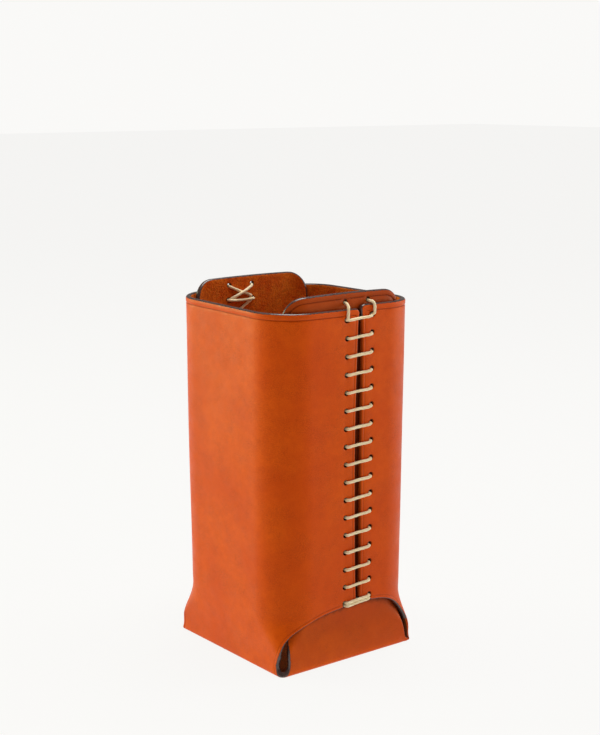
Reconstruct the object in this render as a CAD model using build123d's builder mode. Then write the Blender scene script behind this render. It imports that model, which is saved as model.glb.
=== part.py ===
"""Pen cup folded from one thick leather blank and closed by two laced seams.

The blank is a cross: a base in the middle, two broad panels (front and back) whose wings
wrap round the upright corners, and two plain tongues that stand inside the wings. Each
lace joins the wings of both panels to the tongue behind them. The five leather parts are
written one by one, parted at the blank's fold lines, and the two laces follow.

Frame: origin at the centre of the underside, +Z up, +X towards the right-hand seam, -Y
towards the front. The cup is the same after half a turn about Z.
"""

import os

from build123d import *

# Driving dimensions (mm)
leather = 2.0  # thickness of the blank
rim_height = 139.7  # mean height of the panels' rim
tongue_top = 145.1  # crest of the tongues, above the rim
base_x = 67.2  # between the folds of the tongues
base_y = 64.8  # between the folds of the panels
rim_side = 70.4  # outside the wings at the rim, both ways
waist_height = 25.0  # where the flat panel bottoms have turned into round corners
waist_x = 69.6
waist_y = 68.0
corner_radius = 16.0  # outside, above the waist
flat_height = 7.0  # below this the panels are flat to their side edges
edge_radius = 0.8  # corner of the forming solids where the panels are flat
base_corner = 3.0  # relief at the blank's inner corners
fold_radius = 1.2  # outside of the folds

# Each panel's right-hand foot (1) is narrow and its left-hand foot (-1) wide
foot_half = {1: 30.2, -1: 33.6}  # half width of a panel at the base
foot_edge = 5.0  # height where a panel's side edge begins to curve out towards the arch
bend_half = {1: 31.8, -1: 34.1}  # half width halfway along that curve
bend_height = 8.0
foot_top = (35.0, 11.6)  # half width and height at its end, on the corner
tongue_foot = (-28.3, 30.2)  # the right tongue's two edges at the base, along Y
tongue_knee = (28.6, 14.0)  # where its back edge has drawn in, and at what height
tongue_shoulder = (-30.4, 26.8)  # its edges at the top: the tongue slants towards the front
tongue_corner = 9.0
tongue_crown = 0.5  # rise of the tongue's top edge at its middle
arch_centre = 5.3  # height of the centre of the wings' elliptical lower edges
arch_half_width = 34.0
arch_rise = 16.9
wing_corner = 2.0  # rounding of each wing's two corners at the seam

skew = 0.63  # each panel's left-hand wing stands this much high, its right-hand one low
seam_offset = 3.8  # seams from the middle of the side faces
seam_gap = 1.2
ply_gap = 0.1  # between a wing and the tongue behind it

hole_rows = 17
row_pitch = 6.96
first_row = 135.6
top_row = 141.6  # the tongue's own pair of holes, above the rim
hole_spacing = 12.3  # across the seam
hole_diameter = 2.0
strand_spacing = 1.2  # between the two strands that share an end hole

lace_diameter = 1.1
lace_lift = 0.65  # centre of a strand above the leather it lies on
lace_cross = 1.85  # the same where it passes over another strand
lace_bend = 1.2  # radius at the hole edges
tail_length = 6.0

# Worked-out values
reach = 50.0  # longer than any half width of the cup
last_row = first_row - row_pitch * (hole_rows - 1)
rim_slope = skew / (rim_side / 2)
rows = [first_row - row_pitch * k for k in range(hole_rows)]


def between(z, z_low, low, z_high, high):
    """Value at height z on the straight line through (z_low, low) and (z_high, high)."""
    return low + (high - low) * (z - z_low) / (z_high - z_low)


def wall_half(z, waist_side):
    """Half width outside the wall at height z, above the waist."""
    return between(z, waist_height, waist_side / 2, rim_height, rim_side / 2)


def low_half_y(z):
    """Half depth outside the panels at height z, below the waist."""
    return between(z, leather, base_y / 2, waist_height, waist_y / 2)


def wall_sections(top):
    """Height, half widths and corner radius of the panels' outer form, up to top."""
    side = waist_x / 2
    return [
        (leather, side, base_y / 2, edge_radius),
        (flat_height, side, low_half_y(flat_height), edge_radius),
        (waist_height, side, waist_y / 2, corner_radius),
        (top, wall_half(top, waist_x), wall_half(top, waist_y), corner_radius),
    ]


def tongue_sections(top):
    """The same for the tongues, which stand at the base's edge and lean in under the wings."""
    inset = leather + ply_gap
    knee = 2 * flat_height
    knee_radius = between(knee, flat_height, edge_radius, waist_height, corner_radius - leather)
    inner_x = waist_x / 2 - inset
    return [
        (leather, base_x / 2, base_y / 2, edge_radius),
        (knee, inner_x, low_half_y(knee) - inset, knee_radius),
        (waist_height, inner_x, waist_y / 2 - inset, corner_radius - inset),
        (
            top,
            wall_half(top, waist_x) - inset,
            wall_half(top, waist_y) - inset,
            corner_radius - inset,
        ),
    ]


def formed_solid(sections, inset):
    """Solid inside a stack of rounded rectangles drawn in by inset."""
    with BuildPart() as form:
        for z, half_x, half_y, radius in sections:
            with BuildSketch(Plane.XY.offset(z)):
                inner_radius = max(radius - inset, edge_radius / 2)
                RectangleRounded(2 * (half_x - inset), 2 * (half_y - inset), inner_radius)
        loft(ruled=True)
    return form.part


def hole_column(column, lift, plane):
    """One column of lace holes as a sketch; the end ones are slots for two strands."""
    with BuildSketch(plane) as holes:
        with Locations(*[(column, z + lift) for z in rows[1:-1]]):
            Circle(hole_diameter / 2)
        with Locations((column, rows[0] + lift)):
            SlotCenterToCenter(strand_spacing, hole_diameter)
        with Locations((column, rows[-1] + lift)):
            SlotCenterToCenter(strand_spacing, hole_diameter, rotation=90)
    return holes.sketch


# Base: the middle of the blank, with the outside of the four folds rounded
with BuildPart() as base_panel:
    with BuildSketch():
        RectangleRounded(base_x, base_y, base_corner)
    extrude(amount=leather)
    fillet(base_panel.faces().sort_by(Axis.Z)[0].edges(), fold_radius)

# Front panel with its two wings
wall_top = rim_height + 2 * skew
wall_outside = formed_solid(wall_sections(wall_top), 0)
wall_inside = formed_solid(wall_sections(wall_top), leather)
side_start = waist_x / 2 - 1.2 * leather  # just inside the wings' flesh side
column_offset = hole_spacing / 2
near_edge = seam_offset - seam_gap / 2
far_edge = -seam_offset - seam_gap / 2

with BuildPart() as front_panel:
    add(wall_outside)
    add(wall_inside, mode=Mode.SUBTRACT)
    with BuildSketch():
        with BuildLine():
            Polyline(
                (-reach, -reach), (reach, -reach), (reach, near_edge),
                (0, near_edge), (0, far_edge), (-reach, far_edge), close=True,
            )
        make_face()
    extrude(amount=tongue_top, mode=Mode.INTERSECT)
    rim_plane = Plane(origin=(0, 0, rim_height), z_dir=(rim_slope, 0, 1))
    split(bisect_by=rim_plane, keep=Keep.BOTTOM)
    for side in (1, -1):
        lift = -side * skew
        # the wing's lower edge: an elliptical arch over the tongue
        with BuildSketch(Plane.YZ.offset(side * side_start)):
            with Locations((0, arch_centre + lift / 2)):
                Ellipse(arch_half_width, arch_rise)
        extrude(amount=side * reach, mode=Mode.SUBTRACT)
        # below it the panel narrows to its foot
        with BuildSketch(Plane.XZ):
            with BuildLine():
                edge_start = (side * foot_half[side], foot_edge)
                edge_end = (side * foot_top[0], foot_top[1])
                ThreePointArc(edge_start, (side * bend_half[side], bend_height), edge_end)
                Polyline(
                    edge_end, (side * reach, foot_top[1]), (side * reach, 0),
                    (side * foot_half[side], 0), edge_start,
                )
            make_face()
        extrude(amount=reach, both=True, mode=Mode.SUBTRACT)
        column = side * seam_offset - column_offset
        holes = hole_column(column, lift, Plane.YZ.offset(side * side_start))
        extrude(holes, amount=side * reach, mode=Mode.SUBTRACT)
    seam_corners = front_panel.edges().filter_by(
        lambda edge: edge.length < 1.2 * leather
        and abs(edge.center().X) > side_start
        and min(abs(edge.center().Y - near_edge), abs(edge.center().Y - far_edge)) < 0.01
    )
    fillet(seam_corners, wing_corner)

# Back panel: the same piece of the blank, half a turn round
with BuildPart() as back_panel:
    add(front_panel.part, rotation=(0, 0, 180))

# Right tongue, behind the seam at +X
with BuildPart() as right_tongue:
    add(formed_solid(tongue_sections(tongue_top + 1), 0))
    add(formed_solid(tongue_sections(tongue_top + 1), leather), mode=Mode.SUBTRACT)
    with BuildSketch(Plane.YZ):
        with BuildLine():
            shoulder = tongue_top - tongue_crown
            front_top = (tongue_shoulder[0], shoulder)
            back_top = (tongue_shoulder[1], shoulder)
            Polyline(
                front_top, (tongue_foot[0], leather), (tongue_foot[1], leather),
                tongue_knee, back_top,
            )
            ThreePointArc(back_top, (sum(tongue_shoulder) / 2, tongue_top), front_top)
        outline = make_face()
        fillet(outline.vertices().group_by(Axis.Y)[-1], tongue_corner)
    extrude(amount=reach, mode=Mode.INTERSECT)
    for side in (1, -1):
        column = seam_offset + side * column_offset
        extrude(hole_column(column, 0, Plane.YZ), amount=reach, mode=Mode.SUBTRACT)
        with BuildSketch(Plane.YZ):
            with Locations((column, top_row)):
                Circle(hole_diameter / 2)
        extrude(amount=reach, mode=Mode.SUBTRACT)

with BuildPart() as left_tongue:
    add(right_tongue.part, rotation=(0, 0, 180))

# Laces


def strand(column, z, lift, outside):
    """Point where a lace turns at a hole: lift is its height above the leather there."""
    if outside:
        x = wall_half(z, waist_x) + lift
    else:
        x = wall_half(z, waist_x) - 2 * leather - ply_gap - lift
    return (x, column, z)


def lace_route():
    """Corners of the right-hand lace, from its tucked upper end down to its lower tail."""
    front = seam_offset - column_offset
    back = seam_offset + column_offset
    half = strand_spacing / 2
    top = top_row
    crossing = (top + first_row) / 2
    route = [
        # upper end, tucked beside the front hole of the first row
        strand(front + 2 * lace_diameter, first_row + 2 * lace_diameter, lace_lift, False),
        # to the back hole above the rim, over the rim and in at the first row
        strand(back, top, lace_lift, False),
        strand(back, top, lace_lift - leather, True),
        strand(back + half, rim_height + 2 * lace_lift, lace_lift, True),
        strand(back + half, first_row + skew, lace_lift, True),
        strand(back + half, first_row, lace_cross, False),
        # inside bar, out at the front and up over the rim to the front hole
        strand(front - half, first_row, lace_cross, False),
        strand(front - half, first_row - skew, lace_lift, True),
        strand(front - half, rim_height + 2 * lace_lift, lace_lift, True),
        strand(front, top, lace_lift - leather, True),
        strand(front, top, lace_lift, False),
        # inside, over the first strand, to the back hole of the first row
        strand(seam_offset, crossing, lace_cross + lace_lift, False),
        strand(back - half, first_row, lace_lift, False),
    ]
    # one bar outside and one slanting strand inside for each row
    for index, z in enumerate(rows):
        slot = half if index == 0 else 0
        drop = half if z == rows[-1] else 0
        route += [
            strand(back - slot, z + skew + drop, lace_lift, True),
            strand(front + slot, z - skew + drop, lace_lift, True),
            strand(front + slot, z + drop, lace_lift, False),
        ]
        if z != rows[-1]:
            next_drop = half if index == hole_rows - 2 else 0
            route.append(strand(back, z - row_pitch + next_drop, lace_lift, False))
    # the last row's second strand, and the lower tail inside
    route += [
        strand(back, last_row - half, lace_lift, False),
        strand(back, last_row + skew - half, lace_lift, True),
        strand(front, last_row - skew - half, lace_lift, True),
        strand(front, last_row - half, lace_lift, False),
        strand(front - lace_diameter, last_row - half - tail_length, lace_lift, False),
    ]
    return route


with BuildPart() as right_lace:
    with BuildLine():
        lace_line = FilletPolyline(*lace_route(), radius=lace_bend)
    with BuildSketch(Plane(origin=lace_line @ 0, z_dir=lace_line % 0)):
        Circle(lace_diameter / 2)
    sweep(path=lace_line)

with BuildPart() as left_lace:
    add(right_lace.part, rotation=(0, 0, 180))

pieces = {
    "base_panel": base_panel,
    "front_panel": front_panel,
    "back_panel": back_panel,
    "right_tongue": right_tongue,
    "left_tongue": left_tongue,
    "right_lace": right_lace,
    "left_lace": left_lace,
}
os.makedirs("parts", exist_ok=True)
for name, piece in pieces.items():
    piece.part.label = name
    export_step(piece.part, f"parts/{name}.step")

print(f"length of one lace: {lace_line.length:.0f} mm")
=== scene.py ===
"""Laced leather pen cup: one folded blank of thick leather and two waxed laces.

The blank is drawn flat, in millimetres: U runs across the front panel, V runs from the
front panel's rim (negative) over the base to the back panel's rim. It is meshed flat, with
rings of points along every cut edge, crease line and lace hole, and then folded into place,
so all of them are real geometry. The blank is the same after half a turn. The laces run
through its own holes.
"""
import math
import random

import bmesh
import bpy
import numpy as np
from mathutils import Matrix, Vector
from mathutils.geometry import delaunay_2d_cdt
from mathutils.kdtree import KDTree


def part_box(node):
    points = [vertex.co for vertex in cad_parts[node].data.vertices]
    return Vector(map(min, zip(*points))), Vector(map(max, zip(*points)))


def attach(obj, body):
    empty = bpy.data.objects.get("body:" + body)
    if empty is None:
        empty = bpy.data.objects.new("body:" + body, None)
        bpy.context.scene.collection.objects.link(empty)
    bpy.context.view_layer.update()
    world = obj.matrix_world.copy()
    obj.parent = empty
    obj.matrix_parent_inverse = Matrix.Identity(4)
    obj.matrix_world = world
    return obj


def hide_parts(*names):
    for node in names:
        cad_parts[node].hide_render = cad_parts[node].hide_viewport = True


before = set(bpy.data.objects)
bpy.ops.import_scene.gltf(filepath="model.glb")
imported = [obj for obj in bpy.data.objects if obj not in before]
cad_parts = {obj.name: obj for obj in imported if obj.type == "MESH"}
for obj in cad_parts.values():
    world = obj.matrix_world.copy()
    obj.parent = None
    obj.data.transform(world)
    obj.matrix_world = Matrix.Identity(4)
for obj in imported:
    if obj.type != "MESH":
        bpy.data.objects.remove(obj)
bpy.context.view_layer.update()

MM = 0.001  # metres in a millimetre


def box_mm(node):
    """Lowest and highest corner of a CAD node, in millimetres."""
    low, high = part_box(node)
    return np.array(low) / MM, np.array(high) / MM


# ------ sizes read from the frame
base_low, base_high = box_mm("base_panel")
front_high = box_mm("front_panel")[1]
tongue_high = box_mm("right_tongue")[1]

LEATHER = base_high[2] - base_low[2]
BASE_X = base_high[0]  # half sizes of the base
BASE_Y = base_high[1]
RIM_HALF = front_high[0]  # half width outside the wings at the rim
TONGUE_TOP = tongue_high[2]

# ------ the rest of the design, in mm
SKEW = 0.63  # each panel's left-hand wing sits this much high, its right-hand one low
RIM = front_high[2] - SKEW
WAIST = 28.0  # height from which the walls widen evenly up to the rim
WAIST_X = 34.8  # half width and half depth there
WAIST_Y = 34.0
CORNER = 16.0  # outside radius of the corners, and what it starts from at the foot
FOOT_CORNER = 0.8
CORNER_START = 3.2  # heights where the corners start and finish turning round
CORNER_END = 23.0
# Where a value differs between the two sides of a panel, 1 is the right-hand one
FOOT = {1: 30.1, -1: 33.5}  # half widths of a panel's foot: narrow on the right, wide on the left
PLY_GAP = 0.05  # between a wing and the tongue behind it
LOW_GAP = 0.4  # and how much more behind the wings' lower edges
LOW_GAP_TOP = 21.0  # height where that starts to close
LOW_GAP_FADE = 10.0
TONGUE_MIDDLE = 28.4  # half width of a tongue, low down
TONGUE_SLANT = 2.0  # how far its front edge slants towards the front, foot to top
BACK_SLANT = 0.9  # and its back edge, as a share of that
TONGUE_FLARE = 2.0  # extra width of its back edge at the foot
TONGUE_KNEE = 14.0  # height where the slant starts and the foot's extra width has ended
TONGUE_CORNER = 9.0
TONGUE_CROWN = 0.6
TONGUE_CLEAR = 31.5  # no tongue reaches this far from the blank's U axis
LEAN_TOP = 18.0  # height where the tongues have leant in under the wings
NARROWING = 8.0  # height over which the tongues' sides draw in under the panels

SEAM = 3.8  # seams from the middle of the side faces
SEAM_FOOT = 22.0
SEAM_SWAY = 0.25  # the lacing pulls the seams this much off the plumb line
GAP_END = 0.5  # opening of a seam at its ends
GAP_SWELL = 1.9  # and how much more in its middle
GAP_RUN = 9.0  # length over which it widens
WING_CORNER = 2.0  # radius of a wing's corner at the rim
WING_TOE = 1.1  # and at the foot of the seam
ARCH_FOOT = 3.0  # height where the wings' lower edges start to curve
ARCH_TOP = {1: 22.3, -1: 22.7}  # and where they meet the seam
ARCH_POWER = {1: 2.6, -1: 3.2}  # 2 would be an ellipse, and more is squarer
ARCH_FLARE = {1: 1.5, -1: 0.0}  # the right-hand one swings out before it climbs
FLARE_HEIGHT = 9.5
FLARE_REACH = 4.0

HOLE_OFFSET = 6.15  # holes from the seam's middle
TOP_HOLE_OFFSET = 5.6  # the same in the tongues' two upper rows
ROWS = 17
PITCH = 6.96
FIRST_ROW = 135.6
TOP_ROW = 141.6  # the tongues' own holes, above the rim
HOLE_RADIUS = 0.92
SLOT = 0.8  # extra length of the end holes, which take two strands

NOTCH_START = {1: 4.6, -1: 3.04}  # height where the relief at a foot's corner starts
NOTCH_END = {1: 38.0, -1: 36.3}  # and how far out along the tongue's edge it ends
NOTCH_POWER = {1: 2.0, -1: 1.6}
FOLD_RADIUS = 1.5  # outside radius of the folds
FOLD_INSIDE = 0.3
FOLD_BLEND = 1.2  # half width of the strip where a tongue's fold gives way to a panel's
FOLD_REACH = 4.0  # the fold's zone on either side of the base's edge
FOLD_RUN = 2 * (FOLD_REACH - FOLD_RADIUS) + FOLD_RADIUS * math.pi / 2
PANEL_ROWS = 31.0  # half lengths of the close rows of points along the folds
TONGUE_ROWS = 29.0

SIDE_CREASE = 1.5  # crease lines from the seams, arches and feet
RIM_CREASE = 2.5
TONGUE_CREASE = 2.3
GROOVE = 0.22  # depth and half width of a crease line
BAND = 0.08  # the strip between a crease and its edge stands this much proud
FAINT = 0.5  # the crease lines along the seams, arches and feet are fainter
CREASE_START = 26.0  # height on the tongues where their crease lines start
CREASE_FADE = 8.0

# Painted shade on the tongues, where the seams' gaps and the wings' lower edges shade them
GAP_SHADE = 1.3  # half width of the painted shade on a tongue behind the seam's gap
GAP_FADE = 1.2
ARCH_SHADE = 0.7  # and of the one along the wings' lower edges
ARCH_FADE = 1.5
ARCH_SHADE_STRENGTH = 0.9
TOP_SHADE = 0.45  # painted shade: the tongues are a little darker above the rim and at their feet
FOOT_SHADE = 0.20
BARE = 0.72  # share of the edge paint that is missing on the bare feet, and on the lit seam edges as painted light
BARE_TOP = 8.0  # height where the wide feet's edges start to be painted
BARE_FADE = 4.0
SEAM_LIT_EDGE = 0.75  # how much paint the left-hand wings' edges lack at the seams: painted light, as these edges face the light
DEPTHS = 8.0  # height inside where the painted shade of the cup's bottom starts to lighten
DEPTHS_FADE = 24.0

EDGE_ROUND = 0.9  # reach of the rounded, painted edges
HOLE_ROUND = 0.35
PAINT = 0.28  # width of the edge paint on either side
DIMPLE = 0.12  # depth of the leather drawn in round a hole, and its reach
DIMPLE_REACH = 0.8
# Distances of the mesh's rings of points from the edges, crease lines and holes
EDGE_RINGS = (0.037, 0.146, 0.322, 0.56, 0.9)
CREASE_RINGS = (-0.45, -0.24, -0.1, 0.0, 0.1, 0.24, 0.45)
HOLE_RINGS = (0.0, 0.03, 0.1, 0.21, 0.35, 0.8)
HOLE_POINTS = 16
OUTLINE_STEP = 1.4
GRID = 1.6
# How far the grid's points stay from the folds, edges, crease lines and holes
FOLD_CLEAR = 3.4
EDGE_CLEAR = 1.7
CREASE_CLEAR = 0.5
HOLE_CLEAR = 0.25
FLAT_REACH = 190.0  # the flat blank fits in a square of this half width

LACE = 1.15  # diameter
LOBE = 0.03  # relief of the lace's twist
TWIST = 2.4  # length over which one ply gives way to the next


def smooth(t):
    """Smooth step from 0 to 1."""
    t = np.clip(t, 0.0, 1.0)
    return t * t * (3.0 - 2.0 * t)


# ------ the folded form
def widening(z):
    """Share of the way from the waist up to the rim."""
    return np.maximum(z - WAIST, 0.0) / (RIM - WAIST)


def wall_half_x(z):
    """Half width outside the wings at height z."""
    return WAIST_X + (RIM_HALF - WAIST_X) * widening(z)


def wall_half_y(z):
    """Half depth outside the front and back panels at height z."""
    swell = (WAIST_Y - BASE_Y) * smooth((z - FOLD_REACH) / (WAIST - FOLD_REACH))
    return BASE_Y + swell + (RIM_HALF - WAIST_Y) * widening(z)


def wall_corner(z):
    """Outside corner radius of the panels at height z."""
    turned = smooth((z - CORNER_START) / (CORNER_END - CORNER_START))
    return FOOT_CORNER + (CORNER - FOOT_CORNER) * turned


def tongue_half_x(z):
    """Half width outside the tongues at height z."""
    low_gap = LOW_GAP * (1.0 - smooth((z - LOW_GAP_TOP) / LOW_GAP_FADE))
    under = wall_half_x(z) - LEATHER - PLY_GAP - low_gap
    lean = 1.0 - smooth((z - FOLD_REACH) / (LEAN_TOP - FOLD_REACH))
    return under + (BASE_X - WAIST_X + LEATHER + PLY_GAP + LOW_GAP) * lean


def round_contour(s, half_s, half_n, radius):
    """Point and outward normal at arc length s along a rounded rectangle.

    s starts in the middle of the side that faces out; half_s is half that side's width
    and half_n its distance from the centre.
    """
    side = np.sign(s)
    run = np.abs(s)
    flat = half_s - radius
    turn = np.clip((run - flat) / radius, 0.0, math.pi / 2)
    past = np.maximum(run - flat - radius * math.pi / 2, 0.0)
    across = np.minimum(run, flat) + radius * np.sin(turn)
    out = half_n - radius + radius * np.cos(turn) - past
    return side * across, out, side * np.sin(turn), np.cos(turn)


def fold_shift(q, foot, depth):
    """How a fold moves the blank at distance q from its middle: outwards and upwards."""
    start = foot - FOLD_REACH
    radius = FOLD_RADIUS + (FOLD_INSIDE - FOLD_RADIUS) * depth / LEATHER
    straight = FOLD_REACH - depth - radius
    total = 2 * straight + radius * math.pi / 2
    run = np.clip((q - start) / FOLD_RUN, 0.0, 1.0) * total
    turn = np.clip((run - straight) / radius, 0.0, math.pi / 2)
    up = np.maximum(run - straight - radius * math.pi / 2, 0.0)
    out = np.minimum(q, start + np.minimum(run, straight)) + radius * np.sin(turn)
    return out - q, radius * (1.0 - np.cos(turn)) + up


def height_of(q, foot):
    """Height of a point on a wall, q from the blank's middle."""
    return 2 * FOLD_REACH + q - foot - FOLD_RUN


def flat_of(z, foot):
    """The inverse: how far from the blank's middle a wall reaches height z."""
    return z - 2 * FOLD_REACH + foot + FOLD_RUN


def stand_wall(s, z, depth, half_s, half_n, radius):
    """Across, out and up for a wall's point at arc length s and height z."""
    across, out, n_across, n_out = round_contour(s, half_s(z), half_n(z), radius(z))
    slope = (half_n(z + 0.1) - half_n(z - 0.1)) / 0.2 * n_out
    inwards = depth / np.sqrt(1.0 + slope**2)
    return across - inwards * n_across, out - inwards * n_out, z + inwards * slope


def tongue_half_y(z):
    """Half depth of the form that the tongues bend round, which starts at the base's own."""
    return wall_half_y(z) - (LEATHER + PLY_GAP) * smooth((z - FOLD_REACH) / NARROWING)


def tongue_bend(z):
    """Outside radius of the tongues where they bend round the corners."""
    return np.maximum(wall_corner(z) - LEATHER - PLY_GAP, 1.0)


def fold_blank(flat, depth):
    """Places flat points (n, 2), each at its depth under the grain side, in mm."""
    u, v = flat.T
    side_u, side_v = np.sign(u), np.sign(v)
    reach_u, reach_v = np.abs(u), np.abs(v)
    # the folds, which take over from each other at the base's corners
    diagonal = (reach_u - BASE_X) - (reach_v - BASE_Y)
    tongue_share = smooth((diagonal + FOLD_BLEND) / (2 * FOLD_BLEND))
    panel_share = 1.0 - tongue_share
    out_u, up_u = fold_shift(reach_u, BASE_X, depth)
    out_v, up_v = fold_shift(reach_v, BASE_Y, depth)
    placed = np.stack([
        side_u * (reach_u + tongue_share * out_u),
        side_v * (reach_v + panel_share * out_v),
        depth + tongue_share * up_u + panel_share * up_v,
    ], axis=-1)
    z = height_of(reach_v, BASE_Y)
    panel = z > FOLD_REACH
    across, out, up = stand_wall(u, z, depth, wall_half_x, wall_half_y, wall_corner)
    placed[panel] = np.stack([across, side_v * out, up], axis=-1)[panel]
    z = height_of(reach_u, BASE_X)
    tongue = (z > FOLD_REACH) & ~panel
    across, out, up = stand_wall(v, z, depth, tongue_half_y, tongue_half_x, tongue_bend)
    placed[tongue] = np.stack([side_u * out, across, up], axis=-1)[tongue]
    return placed


def ripple(points):
    """Slow unevenness of the standing leather, fading out towards the base."""
    x, y, z = points.T
    wave = 0.16 * np.sin(0.061 * z + 0.045 * x + 0.9) * np.cos(0.052 * y - 0.017 * z)
    wave += 0.09 * np.sin(0.113 * x - 0.083 * z + 2.1)
    wave += 0.08 * np.sin(0.127 * y + 0.071 * z)
    move = wave * smooth((z - 8.0) / 60.0) / np.maximum(np.hypot(x, y), 1.0)
    return points + move[:, None] * np.stack([x, y, 0.0 * z], axis=-1)


# ------ the blank's flat outline
def seam_gap(z):
    """Opening of a seam at height z."""
    end = np.maximum(np.minimum(z - SEAM_FOOT, RIM - z), 0.0)
    return GAP_END + GAP_SWELL * (1.0 - np.exp(-end / GAP_RUN))


def seam_line(z):
    """Middle of the right seam, which sways a little from foot to rim."""
    return SEAM + SEAM_SWAY * np.cos(2 * math.pi * (z - SEAM_FOOT) / (RIM - SEAM_FOOT))


def arc_to(y, z):
    """Arc length along the front panel, from its middle to y on the right side face."""
    radius = wall_corner(z)
    return wall_half_x(z) + wall_half_y(z) + y + radius * (math.pi / 2 - 2)


def seam_edge(z, side):
    """Arc length of a wing's edge at the seam, side 1 for the right-hand wing."""
    return arc_to(side * seam_line(z) - seam_gap(z) / 2, z)


def rim_height(s):
    """Height of the front panel's rim at arc length s: it falls towards the right."""
    return RIM - SKEW * s / arc_to(0, RIM)


def corner_arc(corner, direction_in, direction_out, radius):
    """Arc round a right-angled corner, its two tangent points included."""
    centre = corner - direction_in * radius + direction_out * radius
    turns = np.linspace(0, math.pi / 2, max(7, math.ceil(radius * 1.4)))
    return [
        centre + radius * (direction_in * math.sin(a) - direction_out * math.cos(a))
        for a in turns
    ]


def wing(side):
    """A wing's edge in (arc length, height), from the foot over arch and seam to the rim."""
    power = 2 / ARCH_POWER[side]
    end = seam_edge(SEAM_FOOT, side)
    across, up = np.array([1.0, 0.0]), np.array([0.0, 1.0])
    points = []
    for a in np.linspace(0, math.pi / 2, 180)[:-1]:
        z = ARCH_FOOT + (ARCH_TOP[side] - ARCH_FOOT) * math.sin(a) ** power
        flare = ARCH_FLARE[side] * math.exp(-(((z - FLARE_HEIGHT) / FLARE_REACH) ** 2))
        s = end - (end - FOOT[side]) * math.cos(a) ** power + flare
        if z >= NOTCH_START[side] and s < end - WING_TOE:
            points.append(np.array([s, z]))
    points = spaced(points, 1.0)
    points += corner_arc(np.array([end, ARCH_TOP[side]]), across, up, WING_TOE)
    top = rim_height(side * seam_edge(RIM, side))
    heights = np.arange(points[-1][1] + OUTLINE_STEP, top - WING_CORNER, OUTLINE_STEP)
    points += [np.array([seam_edge(z, side), z]) for z in heights[:-1]]
    corner = np.array([seam_edge(top, side), top])
    arc = corner_arc(corner, up, -across, WING_CORNER)
    return points + arc, len(points) + len(arc) // 2


def arch_lines():
    """Where the wings' lower edges pass over the right tongue: points (across, height)."""
    lines = []
    for side in (1, -1):
        points, _ = wing(side)
        lines += [(side * (s - arc_to(0, z)), z) for s, z in points if z < SEAM_FOOT + 1.5]
    return lines


def spaced(points, step):
    """The points of a line that are about a step apart, its two ends included."""
    kept = [points[0]]
    for point in points[1:-1]:
        if np.linalg.norm(point - kept[-1]) >= step:
            kept.append(point)
    return [*kept, points[-1]]


def tongue_edge(u, side):
    """Half width of the right tongue at u: side -1 for its front edge, 1 for its back one."""
    z = height_of(u, BASE_X)
    slant = TONGUE_SLANT * np.maximum(z - TONGUE_KNEE, 0.0) / (TONGUE_TOP - TONGUE_KNEE)
    flare = TONGUE_FLARE * (1.0 - smooth((z - ARCH_FOOT) / (TONGUE_KNEE - ARCH_FOOT)))
    return TONGUE_MIDDLE + slant if side < 0 else TONGUE_MIDDLE + flare - BACK_SLANT * slant


def notch(side, start):
    """The relief at a panel's foot, from its edge at start to the tongue beside it."""
    end = np.array([side * NOTCH_END[side], -tongue_edge(NOTCH_END[side], -side)])
    power = 2 / NOTCH_POWER[side]
    arc = []
    for a in np.linspace(0, math.pi / 2, 200)[1:]:
        share = np.array([1.0 - math.cos(a) ** power, math.sin(a) ** power])
        arc.append(start + (end - start) * share)
    return spaced(arc, 0.5)


def tongue_outline():
    """The right tongue: out along its front edge, across the crowned top and back."""
    shoulder = flat_of(TONGUE_TOP, BASE_X)
    bend = shoulder - TONGUE_CORNER
    front, back = -tongue_edge(bend, -1), tongue_edge(bend, 1)
    out, up = np.array([1.0, 0.0]), np.array([0.0, 1.0])
    straight_end = bend - TONGUE_CROWN - 0.4
    runs = np.arange(NOTCH_END[1] + 0.8, straight_end, OUTLINE_STEP)
    there = [np.array([u, -tongue_edge(u, -1)]) for u in runs]
    first = corner_arc(np.array([shoulder, front]), out, up, TONGUE_CORNER)
    last = corner_arc(np.array([shoulder, back]), up, -out, TONGUE_CORNER)
    across = np.arange(first[-1][1] + OUTLINE_STEP, last[0][1] - 0.5, OUTLINE_STEP)
    top = first + [np.array([shoulder, v]) for v in across] + last
    middle, half = (front + back) / 2, (back - front) / 2
    top = [np.array([u - TONGUE_CROWN * ((v - middle) / half) ** 2, v]) for u, v in top]
    runs = np.arange(straight_end, NOTCH_END[-1] + 0.8, -OUTLINE_STEP)
    return there + top + [np.array([u, tongue_edge(u, 1)]) for u in runs]


def half_outline():
    """Half of the outline, front panel and right tongue, with each point's crease distance."""
    points, creases = [], []

    def add(new, crease):
        points.extend(new)
        creases.extend([crease] * len(new))

    def on_panel(pairs, side):
        return [np.array([side * s, -flat_of(z, BASE_Y)]) for s, z in pairs]

    left, left_top = wing(-1)
    right, right_top = wing(1)
    left, right = on_panel(left, -1), on_panel(right, 1)
    s_left, s_right = left[-1][0], right[-1][0]
    rim_run = np.arange(s_left + OUTLINE_STEP, s_right - 0.5, OUTLINE_STEP)
    add(notch(-1, left[0])[::-1], SIDE_CREASE)
    add(left[:left_top], SIDE_CREASE)
    add(left[left_top:], RIM_CREASE)
    add(on_panel([(s, rim_height(s)) for s in rim_run], 1), RIM_CREASE)
    add(right[:right_top - 1:-1], RIM_CREASE)
    add(right[right_top - 1::-1], SIDE_CREASE)
    add(notch(1, right[0]), SIDE_CREASE)
    add(tongue_outline(), TONGUE_CREASE)
    return np.array(points), np.array(creases)


def inward_normals(points):
    """Unit normals into a counterclockwise outline, one for each point."""
    along = np.roll(points, -1, axis=0) - np.roll(points, 1, axis=0)
    normals = np.stack([-along[:, 1], along[:, 0]], axis=-1)
    return normals / np.linalg.norm(normals, axis=1)[:, None]


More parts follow.
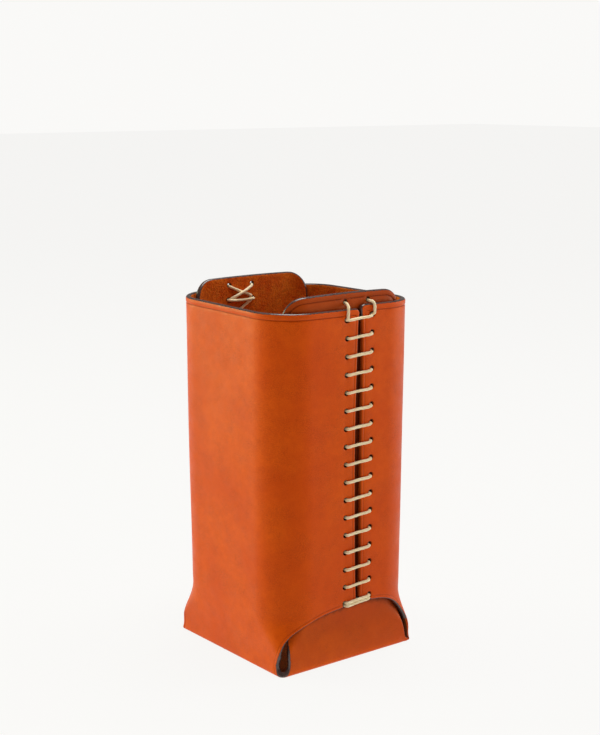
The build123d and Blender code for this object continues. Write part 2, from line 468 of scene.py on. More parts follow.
def refine(points, step=0.15):
    """The outline cut into short steps, and which of its points each one belongs to."""
    after = np.roll(points, -1, axis=0)
    pieces, owners = [], []
    for index, (a, b) in enumerate(zip(points, after)):
        count = max(1, math.ceil(np.linalg.norm(b - a) / step))
        share = np.arange(count)[:, None] / count
        pieces.append(a + (b - a) * share)
        owners.extend([index] * count)
    return np.concatenate(pieces), np.array(owners)


def tree_of(points):
    tree = KDTree(len(points))
    for index, (x, y) in enumerate(points):
        tree.insert((x, y, 0.0), index)
    tree.balance()
    return tree


def nearest(tree, points):
    """Distance to the nearest point in the tree, and its index."""
    found = [tree.find((x, y, 0.0)) for x, y in points]
    return np.array([f[2] for f in found]), np.array([f[1] for f in found])


# ------ lace holes
def row_heights():
    """Heights of the rows of holes, from the rim down."""
    return [FIRST_ROW - PITCH * row for row in range(ROWS)]


def half_holes():
    """Centre and slot half lengths (u, v) of half of the holes: front panel, right tongue."""
    holes = []
    heights = row_heights()
    top = flat_of(TOP_ROW, BASE_X)
    for z in heights:
        slot_across = SLOT / 2 if z == heights[0] else 0.0
        slot_up = SLOT / 2 if z == heights[-1] else 0.0
        low, high = z - SKEW, z + SKEW
        near = arc_to(SEAM - HOLE_OFFSET, low)
        far = arc_to(-SEAM - HOLE_OFFSET, high)
        holes.append((near, -flat_of(low, BASE_Y), slot_across, slot_up))
        holes.append((-far, -flat_of(high, BASE_Y), slot_across, slot_up))
        offset = TOP_HOLE_OFFSET if z == heights[0] else HOLE_OFFSET
        for side in (-1, 1):
            holes.append((flat_of(z, BASE_X), SEAM + side * offset, slot_up, slot_across))
    for side in (-1, 1):
        holes.append((top, SEAM + side * TOP_HOLE_OFFSET, 0.0, 0.0))
    return np.array(holes)


def hole_distance(points, holes, tree):
    """Distance from points to the rim of the nearest hole, negative inside it."""
    _, index = nearest(tree, points)
    away = np.abs(points - holes[index, :2]) - holes[index, 2:]
    return np.hypot(*np.maximum(away, 0.0).T) - HOLE_RADIUS


# ------ the leather mesh
def fold_rows():
    """Rows of points along the four folds, close together across each bend."""
    points = []
    steps = np.arange(-0.8, FOLD_RADIUS * math.pi / 2 + 0.9, 0.4)
    for foot, half, turn in ((BASE_Y, PANEL_ROWS, 0), (BASE_X, TONGUE_ROWS, 1)):
        for step in steps:
            q = foot - FOLD_RADIUS + step
            for w in np.arange(-half + 0.8, half, GRID):
                points += [(w, q), (w, -q)] if turn == 0 else [(q, w), (-q, w)]
    return np.array(points)


class Blank:
    """The flat leather: its points, how far each is from edges, creases and holes."""

    def __init__(self):
        half, crease = half_outline()
        self.outline = np.concatenate([half, -half])
        self.crease = np.concatenate([crease, crease])
        holes = half_holes()
        opposite = holes * np.array([-1, -1, 1, 1])
        self.holes = np.concatenate([holes, opposite])
        self.normals = inward_normals(self.outline)
        self.fine, owners = refine(self.outline)
        self.fine_normals = inward_normals(self.fine)
        self.edge_tree = tree_of(self.fine)
        self.hole_tree = tree_of(self.holes[:, :2])
        self.crease_trees = [
            (value, tree_of(self.fine[self.crease[owners] == value]))
            for value in sorted(set(self.crease))
        ]

    def edge_distance(self, points):
        """Distance inwards from the outline, negative outside it."""
        distance, index = nearest(self.edge_tree, points)
        inside = np.sum((points - self.fine[index]) * self.fine_normals[index], axis=1)
        return np.where(inside >= 0, distance, -distance)

    def crease_distance(self, points):
        """Distance inwards from the nearest crease line, negative in the edge's strip."""
        return self.crease_distances(points).min(axis=0)

    def crease_distances(self, points):
        """The same for each kind of crease line."""
        return np.array([nearest(t, points)[0] - value for value, t in self.crease_trees])

    def scatter(self):
        """All points of the flat mesh: outline first, then the hole rims, then the rest."""
        rest = []
        for d in EDGE_RINGS:
            ring = self.outline + self.normals * d
            rest.append(ring[self.edge_distance(ring) > d - 0.03])
        for c in CREASE_RINGS:
            ring = self.outline + self.normals * (self.crease + c)[:, None]
            rest.append(ring[self.crease_distance(ring) > c - 0.04])
        line = np.arange(-FLAT_REACH, FLAT_REACH, GRID)
        u, v = np.meshgrid(line, line)
        u[1::2] += GRID / 2
        grid = np.stack([u.ravel(), v.ravel()], axis=-1)
        across, along = np.abs(grid).T
        near_fold = (np.abs(along - BASE_Y) < FOLD_CLEAR) & (across < PANEL_ROWS)
        near_fold |= (np.abs(across - BASE_X) < FOLD_CLEAR) & (along < TONGUE_ROWS)
        grid = np.concatenate([grid[~near_fold], fold_rows()])
        grid = grid[self.edge_distance(grid) > EDGE_CLEAR]
        rest.append(grid[self.crease_distance(grid) > CREASE_RINGS[-1] + CREASE_CLEAR])
        rest = np.concatenate(rest)
        rest = rest[hole_distance(rest, self.holes, self.hole_tree) > HOLE_RINGS[-1] + HOLE_CLEAR]
        rims = []
        turns = np.arange(HOLE_POINTS) * 2 * math.pi / HOLE_POINTS + 0.1
        circle = np.stack([np.cos(turns), np.sin(turns)], axis=-1)
        for ring in HOLE_RINGS:
            around = self.holes[:, None, :2] + circle * (HOLE_RADIUS + ring)
            around = around + np.sign(circle) * self.holes[:, None, 2:]
            rims.append(around.reshape(-1, 2))
        outer_ring = rims.pop()
        outer_ring = outer_ring[self.edge_distance(outer_ring) > 1.1]
        return np.concatenate([self.outline, *rims, outer_ring, rest])

    def triangles(self, points):
        """Triangles of the flat mesh, counterclockwise, none outside or in a hole."""
        n = len(self.outline)
        loops = [(i, (i + 1) % n) for i in range(n)]
        for hole in range(len(self.holes)):
            first = n + hole * HOLE_POINTS
            loops += [(first + i, first + (i + 1) % HOLE_POINTS) for i in range(HOLE_POINTS)]
        coords = [Vector(p) for p in points]
        _, _, faces, sources, _, _ = delaunay_2d_cdt(coords, loops, [], 1, 1e-5)
        source = np.array([s[0] for s in sources])
        faces = source[np.array([f[:3] for f in faces])]
        middle = points[faces].mean(axis=1)
        keep = hole_distance(middle, self.holes, self.hole_tree) > 0
        faces = faces[keep & (self.edge_distance(middle) > -0.02)]
        a, b, c = points[faces].transpose(1, 0, 2)
        turn = np.cross(b - a, c - a)
        faces[turn < 0] = faces[turn < 0][:, ::-1]
        return faces[np.abs(turn) > 1e-7]


def rounding(distance, reach, drop, power):
    """How far a rounded edge has dropped at a distance from it."""
    share = np.clip((reach - distance) / reach, 0.0, 1.0)
    return drop * (1.0 - (1.0 - share**power) ** (1.0 / power))


def crease_masks(blank, flat, edge):
    """The crease lines and the strips between them and the edges, as shares."""
    distances = blank.crease_distances(flat)
    crease = distances.min(axis=0)
    kind = np.array([value for value, _ in blank.crease_trees])[distances.argmin(axis=0)]
    reach_u, reach_v = np.abs(flat).T
    share = np.where(
        reach_v > TONGUE_CLEAR,
        smooth((reach_v - TONGUE_CLEAR) / 2.0),
        smooth((height_of(reach_u, BASE_X) - CREASE_START) / CREASE_FADE),
    )
    line = np.exp(-((crease / GROOVE) ** 2)) * share
    strip = smooth(-crease / 0.5) * smooth(edge / EDGE_ROUND) * share
    faint = np.where(kind == SIDE_CREASE, FAINT, 1.0)
    return line * faint, strip * faint


def painted_shade_mask(flat):
    """Painted shade on the tongues: dark behind the seams' gaps and under the arches, a little
    darker above the rim and at their feet.
    """
    side = np.sign(flat[:, 0])
    reach_u, reach_v = np.abs(flat).T
    z = height_of(reach_u, BASE_X)
    off_seam = np.abs(flat[:, 1] - side * seam_line(z))
    behind_gap = smooth((z - SEAM_FOOT + 1.0) / 2.0) * smooth((RIM + 0.5 - z) / 1.5)
    gap = (1.0 - smooth((off_seam - GAP_SHADE) / GAP_FADE)) * behind_gap
    off_arch, _ = nearest(tree_of(arch_lines()), np.stack([side * flat[:, 1], z], axis=-1))
    arch = ARCH_SHADE_STRENGTH * (1.0 - smooth((off_arch - ARCH_SHADE) / ARCH_FADE))
    tone = TOP_SHADE * smooth((z - RIM + 3.0) / 3.0)
    tone += FOOT_SHADE * smooth(z / 4.0) * (1.0 - smooth((z - SEAM_FOOT - 2.0) / 4.0))
    painted_shade = np.maximum(np.maximum(gap, arch), tone)
    return np.where((reach_v > TONGUE_CLEAR) | (z < 2.0), 0.0, painted_shade)


def bare_and_lit_edge_mask(flat):
    """Where edges lack paint: the wide feet, which are bare, and the left-hand wings' edges at
    the seams, left lighter as painted light where they face the light.
    """
    reach_u, reach_v = np.abs(flat).T
    z = height_of(reach_v, BASE_Y)
    left_hand = (flat[:, 0] * flat[:, 1] > 0) & (reach_v > TONGUE_CLEAR)
    bare = np.where(left_hand & (reach_u > 31.0), 1.0 - smooth((z - BARE_TOP) / BARE_FADE), 0.0)
    # painted light: the left-hand wings' edges at the seams face the light and are left lighter
    at_seam = left_hand & (z > SEAM_FOOT + 2.0) & (z < RIM - 4.0) & (reach_u > 50.0)
    return np.where(at_seam, SEAM_LIT_EDGE, bare)


def join_layers(blank, outer, inner, faces):
    """One closed mesh of the two layers, which share the outline's points.

    Returns its corners, its triangles and, for each triangle, 0 for grain or 1 for flesh.
    """
    n, rim = len(outer), len(blank.outline)
    inner_index = np.arange(n) + n - rim
    inner_index[:rim] = np.arange(rim)
    corners = np.concatenate([outer, inner[rim:]])
    corners[:, 2] = np.maximum(corners[:, 2], 0.0)
    walls = []
    for index in range(len(blank.holes)):
        ring = rim + index * HOLE_POINTS + np.arange(HOLE_POINTS)
        after = np.roll(ring, -1)
        a, b, c, d = ring, after, inner_index[after], inner_index[ring]
        walls += [np.stack([a, b, c], axis=-1), np.stack([a, c, d], axis=-1)]
    outside = faces[:, ::-1]
    all_faces = np.concatenate([outside, *walls, inner_index[faces]])
    flesh = np.zeros(len(all_faces), int)
    flesh[len(outside):] = 1
    return corners, all_faces, flesh


def leather_mesh():
    """The folded blank as one closed mesh, with the masks that its materials use."""
    blank = Blank()
    flat = blank.scatter()
    faces = blank.triangles(flat)
    rim = len(blank.outline)
    edge = np.maximum(blank.edge_distance(flat), 0.0)
    edge[:rim] = 0.0
    hole = np.maximum(hole_distance(flat, blank.holes, blank.hole_tree), 0.0)
    line, strip = crease_masks(blank, flat, edge)
    drop = rounding(edge, EDGE_ROUND, LEATHER / 2, 2.4)
    hole_drop = rounding(hole, HOLE_ROUND, HOLE_ROUND, 2.0)
    dimple = DIMPLE * np.exp(-((hole / DIMPLE_REACH) ** 2))
    outer = ripple(fold_blank(flat, drop + hole_drop + dimple + GROOVE * line - BAND * strip))
    inner = ripple(fold_blank(flat, LEATHER - drop - hole_drop))
    masks = {
        "paint": (1.0 - smooth((edge - PAINT) / 0.3)) * (1.0 - BARE * bare_and_lit_edge_mask(flat)),
        "painted_shade": painted_shade_mask(flat),
        # painted shade: darker towards the cup's bottom
        "bottom_shade": 1.0 - smooth((outer[:, 2] - DEPTHS) / DEPTHS_FADE),
        "crease": line,
        "strip": strip,
        # the hole walls and rims darken: partly their own dark cut colour, partly painted shade
        # inside the holes
        "hole": 1.0 - smooth(hole / 0.3),
    }
    masks = {name: np.concatenate([mask, mask[rim:]]) for name, mask in masks.items()}
    return *join_layers(blank, outer, inner, faces), masks


def store_masks(mesh, masks):
    """Stores values by name, one for each of a mesh's points, for its materials."""
    for name, values in masks.items():
        layer = mesh.attributes.new(name, "FLOAT", "POINT")
        layer.data.foreach_set("value", values.astype(np.float32))


def make_object(name, corners, faces, material_index=None, masks=None):
    """A mesh object from millimetre corners and triangles or quads, shaded smooth."""
    mesh = bpy.data.meshes.new(name)
    sides = faces.shape[1]
    mesh.vertices.add(len(corners))
    mesh.vertices.foreach_set("co", (corners * MM).astype(np.float32).ravel())
    mesh.loops.add(faces.size)
    mesh.loops.foreach_set("vertex_index", faces.astype(np.int32).ravel())
    mesh.polygons.add(len(faces))
    mesh.polygons.foreach_set("loop_start", np.arange(0, faces.size, sides, dtype=np.int32))
    if material_index is not None:
        mesh.polygons.foreach_set("material_index", material_index.astype(np.int32))
    mesh.update(calc_edges=True)
    mesh.validate()
    mesh.shade_smooth()
    store_masks(mesh, masks or {})
    piece = bpy.data.objects.new(name, mesh)
    bpy.context.scene.collection.objects.link(piece)
    return piece


# ------ the laces
OUTSIDE = LACE / 2 + 0.04  # lift of a strand's centre over the wing, outside
INSIDE = -2 * LEATHER - PLY_GAP - LACE / 2 - 0.04  # and on the tongue's flesh side
FRONT = SEAM - HOLE_OFFSET
BACK = SEAM + HOLE_OFFSET
PULL = 0.42  # the lace lies against the seam side of each hole
TIGHT = 0.4  # how much nearer the seam it runs in the tongues' first row


def through(y, z_wing, y_tongue, z_tongue, outwards):
    """Points through a wing's hole and the tongue's hole behind it."""
    points = [(y_tongue, z_tongue, -3.2), (y, z_wing, -0.5)]
    return points if outwards else points[::-1]


def bar(z, wobble, drop=0.0, slot=0.0, rise=0.0):
    """One outside bar from the back hole to the front one, low in the back hole."""
    high, low = z + SKEW + drop, z - SKEW + drop
    back, front = BACK - PULL - slot, FRONT + PULL + slot
    tight = TIGHT if slot else 0.0
    points = through(back, high - 0.25, back - tight, z + drop, True)
    points += [
        (back - 0.15, high - 0.38 + rise, OUTSIDE + 0.06),
        (back - 1.7, high - 0.72 + wobble + rise, OUTSIDE),
        (SEAM + wobble, (high + low) / 2 - 0.14 + rise, OUTSIDE - 0.04),
        (front + 2.0, low + 0.16 - wobble + rise, OUTSIDE),
        (front + 0.2, low + 0.06, OUTSIDE + 0.06),
    ]
    return points + through(front, low, front + tight, z + drop, False)


def loop_over_rim(side, z, rim, downwards):
    """A strand between the tongue's top hole and a wing's first hole, over the rim."""
    top = TOP_ROW - 0.35
    hole = SEAM + side * TOP_HOLE_OFFSET
    column = SEAM + side * (HOLE_OFFSET + 0.42)
    fall = max(top - rim - 0.95, 0.0)
    points = [
        (hole, top, INSIDE + 1.0),
        (hole, top, -1.9),
        (hole + side * 0.2, top - 0.05 - 0.35 * fall, -0.7),
        (hole + side * 0.5, top - 0.3 - 0.75 * fall, 0.3),
        (column - side * 0.1, rim - 0.3, OUTSIDE + 0.14),
        (column, (rim + z) / 2, OUTSIDE + 0.06),
        (column, z + 0.3, OUTSIDE + 0.04),
        (column, z + 0.05, -0.5),
        (column - side * 0.3, FIRST_ROW, -3.2),
    ]
    return points if downwards else points[::-1]


def lace_route(seed):
    """The right-hand lace from its upper end to its lower tail: (y, z, lift) points."""
    dice = random.Random(seed)
    heights = row_heights()
    first, last = heights[0], heights[-1]
    side_rim = rim_height(arc_to(0, RIM))
    other_rim = 2 * RIM - side_rim
    over = INSIDE - LACE * 0.9
    crossing = (first + TOP_ROW) / 2
    route = [
        (FRONT + 1.1, first + 0.9, INSIDE),
        (FRONT + 2.4, first + 1.8, INSIDE),
        (SEAM, crossing, INSIDE + 0.05),
        (BACK - 1.2, TOP_ROW - 0.8, INSIDE),
    ]
    route += loop_over_rim(1, first + SKEW, other_rim, True)
    route += [
        (BACK - 0.4, first, over),
        (SEAM, first - 0.2, over + 0.2),
        (FRONT + 0.4, first, over),
    ]
    route += loop_over_rim(-1, first - SKEW, side_rim, False)
    route += [
        (FRONT + 0.9, TOP_ROW - 0.7, INSIDE - 0.1),
        (SEAM, crossing, over - 0.15),
        (BACK - 1.4, first + 0.8, INSIDE - 0.2),
    ]
    for z in heights:
        end = z == last
        slot = 0.1 if z == first else 0.0
        drop = 0.5 if end else 0.0
        route += bar(z, dice.uniform(-0.1, 0.1), drop, slot, 0.1 * end)
        if not end:
            route += [
                (FRONT + PULL + 0.4, z - 0.3, INSIDE),
                (SEAM, z - PITCH / 2 + dice.uniform(-0.2, 0.2), INSIDE + 0.04),
                (BACK - PULL - 0.4, z - PITCH + 0.3, INSIDE),
            ]
    route += [
        (FRONT + PULL + 0.3, last + 0.1, INSIDE),
        (SEAM, last - 0.1, INSIDE + 0.04),
        (BACK - PULL - 0.3, last - 0.3, INSIDE),
    ]
    route += bar(last, 0.05, -0.6, 0.0, 0.06)
    route += [
        (FRONT - 0.2, last - 1.4, INSIDE),
        (FRONT - 0.8, last - 3.6, INSIDE),
        (FRONT - 1.1, last - 6.4, INSIDE - 0.3),
    ]
    return route


def smooth_line(name, points):
    """Points along the NURBS spline that has these control points, in mm."""
    data = bpy.data.curves.new(name, "CURVE")
    data.dimensions = "3D"
    data.resolution_u = 6
    spline = data.splines.new("NURBS")
    spline.points.add(len(points) - 1)
    for target, point in zip(spline.points, points):
        target.co = (*point, 1.0)
    spline.order_u = 3
    spline.use_endpoint_u = True
    guide = bpy.data.objects.new(name, data)
    mesh = bpy.data.meshes.new_from_object(guide)
    line = np.array([v.co for v in mesh.vertices], float)
    bpy.data.objects.remove(guide)
    bpy.data.curves.remove(data)
    bpy.data.meshes.remove(mesh)
    return line


def resample(line, step):
    """Evenly spaced points along a polyline."""
    lengths = np.linalg.norm(np.diff(line, axis=0), axis=1)
    run = np.concatenate([[0.0], np.cumsum(lengths)])
    keep = np.concatenate([[True], lengths > 1e-9])
    where = np.linspace(0, run[-1], math.ceil(run[-1] / step) + 1)
    return np.stack([np.interp(where, run[keep], line[keep, k]) for k in range(3)], axis=-1)


def cord_tube(name, line, seed, sides=12):
    """A round cord of three twisted plies along the line, closed at both ends."""
    along = np.gradient(line, axis=0)
    along /= np.linalg.norm(along, axis=1)[:, None]
    normal = np.cross(along[0], (0.3, 0.5, 0.8))
    normals = []
    for direction in along:
        normal = normal - direction * np.dot(normal, direction)
        normal = normal / np.linalg.norm(normal)
        normals.append(normal)
    normals = np.array(normals)
    binormals = np.cross(along, normals)
    step = np.linalg.norm(line[1] - line[0])
    run = np.arange(len(line)) * step
    turns = np.arange(sides) * 2 * math.pi / sides
    twist = 3 * turns[None, :] - 2 * math.pi * run[:, None] / TWIST
    noise = np.random.default_rng(seed).normal(0, 0.012, (len(line), sides))
    thickness = 0.02 * np.sin(run / 3.1) + 0.015 * np.sin(run / 7.3 + seed)
    radius = LACE / 2 + LOBE * np.cos(twist) + noise + thickness[:, None]
    radius[[0, -1]] *= 0.55
    ring = np.cos(turns)[None, :, None] * normals[:, None]
    ring = ring + np.sin(turns)[None, :, None] * binormals[:, None]
    corners = (line[:, None] + radius[..., None] * ring).reshape(-1, 3)
    here = np.arange(len(line) - 1)[:, None] * sides + np.arange(sides)
    beside = np.arange(len(line) - 1)[:, None] * sides + (np.arange(sides) + 1) % sides
    quads = np.stack([here, beside, beside + sides, here + sides], axis=-1).reshape(-1, 4)
    tube = make_object(name, corners, quads)
    close_ends(tube.data)
    uv_along(tube.data, run, sides)
    return tube


def close_ends(mesh):
    """Fills a tube's two open ends with fans round their middles."""
    shape = bmesh.new()
    shape.from_mesh(mesh)
    open_edges = [e for e in shape.edges if e.is_boundary]
    for face in bmesh.ops.holes_fill(shape, edges=open_edges)["faces"]:
        bmesh.ops.poke(shape, faces=[face])
    bmesh.ops.recalc_face_normals(shape, faces=shape.faces)
    shape.to_mesh(mesh)
    shape.free()


def uv_along(mesh, run, sides):
    """Stores how far along and round the cord each corner is, for the fibres' texture."""
    count = len(mesh.vertices)
    along = np.zeros(count)
    turn = np.zeros(count)
    body = len(run) * sides
    along[:body] = np.repeat(run, sides)
    turn[:body] = np.tile(np.arange(sides) / sides, len(run))
    store_masks(mesh, {"along": along, "turn": turn})


def make_lace(name, side, seed):
    """One lace: side 1 for the right-hand seam, -1 for the left-hand one."""
    points = [(wall_half_x(z) + lift, y, z) for y, z, lift in lace_route(seed)]
    line = resample(smooth_line(name, points), 0.3)
    line[:, :2] *= side
    return cord_tube(name, ripple(line), seed)


# ------ materials
class Nodes:
    """A material's node tree, with short ways to add and join nodes."""

    def __init__(self, name):
        self.material = bpy.data.materials.new(name)
        self.material.use_nodes = True
        self.tree = self.material.node_tree
        self.shader = self.tree.nodes["Principled BSDF"]
        self.place = self.add("ShaderNodeTexCoord").outputs["Object"]

    def add(self, kind, inputs=None, **settings):
        """A new node; inputs are values or sockets by name or index."""
        node = self.tree.nodes.new(kind)
        for key, value in settings.items():
            setattr(node, key, value)
        for key, value in (inputs or {}).items():
            self.put(node.inputs[key], value)
        return node

    def put(self, socket, value):
        if isinstance(value, bpy.types.NodeSocket):
            self.tree.links.new(value, socket)
        else:
            socket.default_value = value

    def noise(self, size, detail=3.0, roughness=0.55, place=None):
        """Noise whose features are about size millimetres across."""
        inputs = {
            "Vector": place or self.place,
            "Scale": 1 / (size * MM),
            "Detail": detail,
            "Roughness": roughness,
        }
        return self.add("ShaderNodeTexNoise", inputs).outputs["Fac"]

    def cells(self, size, feature="DISTANCE_TO_EDGE", place=None):
        inputs = {"Vector": place or self.place, "Scale": 1 / (size * MM)}
        return self.add("ShaderNodeTexVoronoi", inputs, feature=feature).outputs["Distance"]

    def ramp(self, value, low, high, bottom=0.0, top=1.0):
        """value mapped smoothly from low..high to bottom..top."""
        inputs = {0: value, 1: low, 2: high, 3: bottom, 4: top}
        kind = "ShaderNodeMapRange"
        return self.add(kind, inputs, interpolation_type="SMOOTHSTEP").outputs[0]

    def mask(self, name):
        return self.add("ShaderNodeAttribute", attribute_name=name).outputs["Fac"]

    def math(self, operation, a, b):
        return self.add("ShaderNodeMath", {0: a, 1: b}, operation=operation).outputs[0]

    def mix(self, share, a, b, blend="MIX"):
        inputs = {0: share, 6: a, 7: b}
        return self.add("ShaderNodeMix", inputs, data_type="RGBA", blend_type=blend).outputs[2]

    def tint(self, colour, share, most, towards):
        """colour moved towards another one by share, and by most where share is 1."""
        return self.mix(self.math("MULTIPLY", share, most), colour, towards)

    def bump(self, height, depth, strength=1.0, onto=None):
        """A bump whose height of 1 stands depth millimetres."""
        inputs = {"Height": height, "Distance": depth * MM, "Strength": strength}
        if onto is not None:
            inputs["Normal"] = onto
        return self.add("ShaderNodeBump", inputs).outputs["Normal"]

    def finish(self, **values):
        for key, value in values.items():
            self.put(self.shader.inputs[key.replace("_", " ")], value)
        return self.material


def rgb(red, green, blue):
    """An sRGB colour, 0 to 255, as a linear one."""
    parts = [c / 255 for c in (red, green, blue)]
    linear = [c / 12.92 if c <= 0.04045 else ((c + 0.055) / 1.055) ** 2.4 for c in parts]
    return (*linear, 1.0)


EDGE_PAINT = rgb(58, 36, 31)


def grain_leather():
    """The smooth side: satin vegetable-tanned leather with fine pores and slow mottling."""
    n = Nodes("grain_leather")
    cloud = n.ramp(n.noise(26.0, 3.0), 0.3, 0.7)
    colour = n.mix(cloud, rgb(220, 76, 3), rgb(232, 90, 6))
    mottle = n.ramp(n.noise(3.2, 4.0), 0.32, 0.68)
    colour = n.tint(colour, mottle, 0.34, rgb(208, 66, 3))
    pores = n.ramp(n.cells(0.62), 0.0, 0.16, 1.0, 0.0)
    patches = n.ramp(n.noise(9.0, 2.0), 0.4, 0.65, 0.15, 1.0)
    pores = n.math("MULTIPLY", pores, patches)
    colour = n.tint(colour, pores, 0.30, rgb(150, 40, 3))
    colour = n.tint(colour, n.mask("crease"), 0.62, rgb(120, 34, 5))
    colour = n.tint(colour, n.mask("strip"), 0.25, rgb(204, 70, 12))
    # painted shade on the tongues: behind the gaps, under the arches, above the rim and at their
    # feet
    colour = n.tint(colour, n.mask("painted_shade"), 0.92, rgb(52, 18, 8))
    # painted edges, and the hole walls darkened partly as painted shade
    edge = n.math("MAXIMUM", n.mask("paint"), n.mask("hole"))
    colour = n.mix(edge, colour, rgb(58, 26, 16))
    rough = n.ramp(n.noise(5.0, 4.0), 0.3, 0.7, 0.40, 0.52)
    fine = n.noise(0.45, 4.0, 0.65)
    speckle = n.ramp(fine, 0.35, 0.65)
    colour = n.tint(colour, speckle, 0.16, rgb(170, 44, 3))
    normal = n.bump(fine, 0.06, 0.7)
    normal = n.bump(pores, -0.03, 0.6, normal)
    normal = n.bump(n.noise(2.4, 3.0), 0.10, 0.35, normal)
    return n.finish(
        Base_Color=colour, Roughness=rough, Normal=normal,
        Specular_IOR_Level=0.22, Specular_Tint=(1.0, 0.85, 0.30, 1.0),
    )


def flesh_leather():
    """The rough side: short matted fibres, browner and uneven."""
    n = Nodes("flesh_leather")
    cloud = n.ramp(n.noise(7.0, 5.0, 0.6), 0.3, 0.7)
    colour = n.mix(cloud, rgb(222, 90, 10), rgb(248, 128, 30))
    fibre = n.ramp(n.noise(0.7, 6.0, 0.7), 0.3, 0.7)
    colour = n.tint(colour, fibre, 0.5, rgb(150, 42, 5))
    # painted shade: the flesh side darker towards the cup's bottom inside
    colour = n.tint(colour, n.mask("bottom_shade"), 0.85, rgb(38, 14, 6))
    # painted edges, and the hole walls darkened partly as painted shade
    edge = n.math("MAXIMUM", n.mask("paint"), n.mask("hole"))
    colour = n.mix(edge, colour, rgb(66, 34, 22))
    normal = n.bump(fibre, 0.22, 0.8)
    normal = n.bump(n.noise(2.8, 3.0), 0.35, 0.5, normal)
    return n.finish(
        Base_Color=colour, Roughness=0.92, Normal=normal,
        Specular_IOR_Level=0.1, Sheen_Weight=0.06, Sheen_Roughness=0.6,
        Sheen_Tint=rgb(235, 160, 100),
    )


def edge_paint():
    """The burnished cut edges: dark, glossy and a little uneven."""
    n = Nodes("edge_paint")
    tone = n.ramp(n.noise(1.6, 4.0), 0.3, 0.7)
    colour = n.mix(tone, EDGE_PAINT, rgb(76, 50, 43))
    normal = n.bump(n.noise(0.9, 3.0), 0.06, 0.5)
    rough = n.ramp(n.noise(2.2, 3.0), 0.3, 0.7, 0.24, 0.38)
    return n.finish(
        Base_Color=colour, Roughness=rough, Normal=normal,
        Specular_IOR_Level=0.6, Coat_Weight=0.4, Coat_Roughness=0.22,
    )


def waxed_lace():
    """Cream waxed linen: fine fibres along the twist, darker between the plies as painted shade.
    """
    n = Nodes("waxed_lace")
    along, turn = n.mask("along"), n.mask("turn")
    phase = n.math("SUBTRACT", n.math("MULTIPLY", turn, 3.0), n.math("DIVIDE", along, TWIST))
    wave = n.math("COSINE", n.math("MULTIPLY", phase, 2 * math.pi), 0.0)
    ply_shade = n.ramp(wave, -1.0, -0.1, 1.0, 0.0)
    fibre = n.ramp(n.noise(0.3, 4.0, 0.65), 0.3, 0.7)
    colour = n.mix(n.ramp(n.noise(4.0, 3.0), 0.35, 0.65), rgb(255, 240, 198), rgb(248, 224, 176))
    # painted shade between the plies
    colour = n.tint(colour, ply_shade, 0.32, rgb(190, 150, 92))
    colour = n.tint(colour, fibre, 0.24, rgb(222, 190, 132))
    normal = n.bump(fibre, 0.05, 0.6)
    return n.finish(
        Base_Color=colour, Roughness=0.55, Normal=normal,
        Specular_IOR_Level=0.4, Sheen_Weight=0.15, Sheen_Roughness=0.5,
    )


def pale_floor():
    """A plain pale surface that gives most of its own light, so that it looks even."""
    n = Nodes("pale_floor")
    return n.finish(
        Base_Color=(0.05, 0.05, 0.05, 1.0), Roughness=0.9, Specular_IOR_Level=0.0,
        Emission_Color=STUDIO_WHITE, Emission_Strength=0.90,
    )


# ------ the cup itself
def build_leather():
    """The blank, which takes the place of all five leather nodes."""
    corners, faces, flesh, masks = leather_mesh()
    paint = masks["paint"][faces].mean(axis=1) > 0.6
    index = np.where(paint, 2, flesh)
    piece = make_object("leather_blank", corners, faces, index, masks)
    for material in (grain_leather(), flesh_leather(), edge_paint()):
        piece.data.materials.append(material)
    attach(piece, "root")
    nodes = ("base_panel", "front_panel", "back_panel", "right_tongue", "left_tongue")
    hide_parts(*nodes)


def build_laces():
    """The two laces, each in place of its CAD node."""
    material = waxed_lace()
    for node, side, seed in (("right_lace", 1, 7), ("left_lace", -1, 12)):
        piece = make_lace(node + "_cord", side, seed)
        piece.data.materials.append(material)
        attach(piece, "root")
        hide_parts(node)


# ------ floor, light and camera
AZIMUTH = math.radians(52.13)  # of the camera, from the front towards the right seam
PITCH_DOWN = math.radians(10.85)
CAMERA_AT = (0.44975, -0.34715, 0.22038)
FOCAL = 71.76  # for a 36 mm sensor on the photograph's long side
SKY_LIGHT = 0.2  # the studio's light on the cup, and as the camera sees it
SKY_SEEN = 0.955
STUDIO_WHITE = (1.0, 0.993, 0.977, 1.0)
FLOOR_REACH = 6.0
LIGHT_AIM = (0.0, 0.0, 0.07)
# Name, place, size, power and colour of each lamp
LAMPS = (
    ("key", (-0.75, -0.62, 0.24), (0.55, 0.6), 7.0, (0.96, 1.12, 0.70)),
    ("side", (0.35, 0.9, 0.2), (0.4, 0.6), 3.2, (1.0, 1.0, 1.0)),
    ("top", (0.0, 0.1, 0.95), (0.6, 0.6), 8.0, (1.0, 1.0, 1.0)),
)


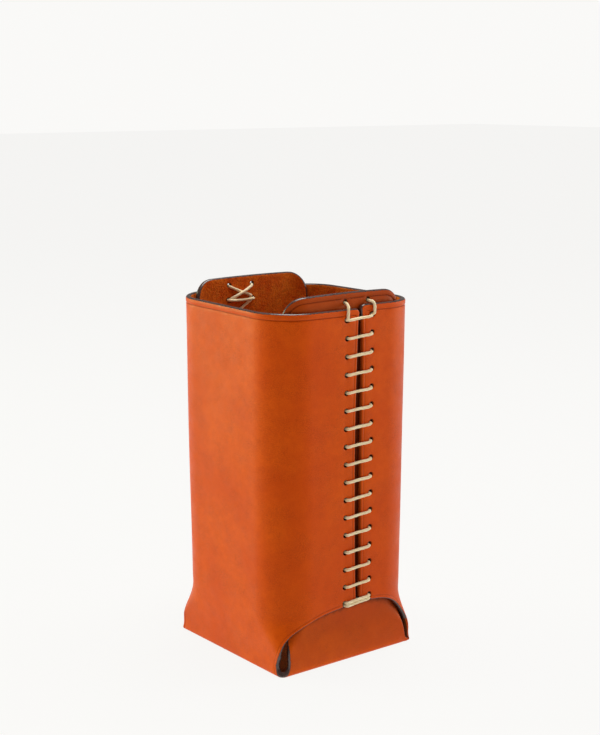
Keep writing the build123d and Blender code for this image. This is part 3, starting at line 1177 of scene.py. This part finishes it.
def build_floor():
    """The floor, one wide square."""
    corners = np.array([(-1, -1, 0), (1, -1, 0), (1, 1, 0), (-1, 1, 0)]) * FLOOR_REACH
    floor = make_object("floor", corners / MM, np.array([[0, 1, 2, 3]]))
    floor.data.materials.append(pale_floor())


def area_light(name, place, size, power, colour):
    """A soft lamp that faces the cup and doesn't show itself."""
    data = bpy.data.lights.new(name, "AREA")
    data.shape = "RECTANGLE"
    data.size, data.size_y = size
    data.energy = power
    data.color = colour
    light = bpy.data.objects.new(name, data)
    light.location = place
    light.rotation_mode = "QUATERNION"
    light.rotation_quaternion = (Vector(LIGHT_AIM) - Vector(place)).to_track_quat("-Z", "Y")
    light.visible_camera = False
    bpy.context.scene.collection.objects.link(light)


def build_light():
    """The lamps and a pale studio, which the camera sees brighter than it lights the cup."""
    world = bpy.data.worlds.new("studio")
    bpy.context.scene.world = world
    world.use_nodes = True
    tree = world.node_tree
    sky = tree.nodes["Background"]
    sky.inputs["Color"].default_value = STUDIO_WHITE
    seen = tree.nodes.new("ShaderNodeLightPath").outputs["Is Camera Ray"]
    strength = tree.nodes.new("ShaderNodeMapRange")
    strength.inputs["To Min"].default_value = SKY_LIGHT
    strength.inputs["To Max"].default_value = SKY_SEEN
    tree.links.new(seen, strength.inputs["Value"])
    tree.links.new(strength.outputs["Result"], sky.inputs["Strength"])
    for lamp in LAMPS:
        area_light(*lamp)


def build_camera():
    """The camera at the photograph's place and angle."""
    data = bpy.data.cameras.new("camera")
    data.lens = FOCAL
    data.sensor_width = 36.0
    data.clip_start = 0.01
    camera = bpy.data.objects.new("camera", data)
    ahead = Vector((
        -math.sin(AZIMUTH) * math.cos(PITCH_DOWN),
        math.cos(AZIMUTH) * math.cos(PITCH_DOWN),
        -math.sin(PITCH_DOWN),
    ))
    camera.location = CAMERA_AT
    camera.rotation_mode = "QUATERNION"
    camera.rotation_quaternion = ahead.to_track_quat("-Z", "Y")
    bpy.context.scene.collection.objects.link(camera)
    bpy.context.scene.camera = camera


build_camera()
build_leather()
build_laces()
build_floor()
build_light()
bpy.context.scene.view_settings.view_transform = "Standard"
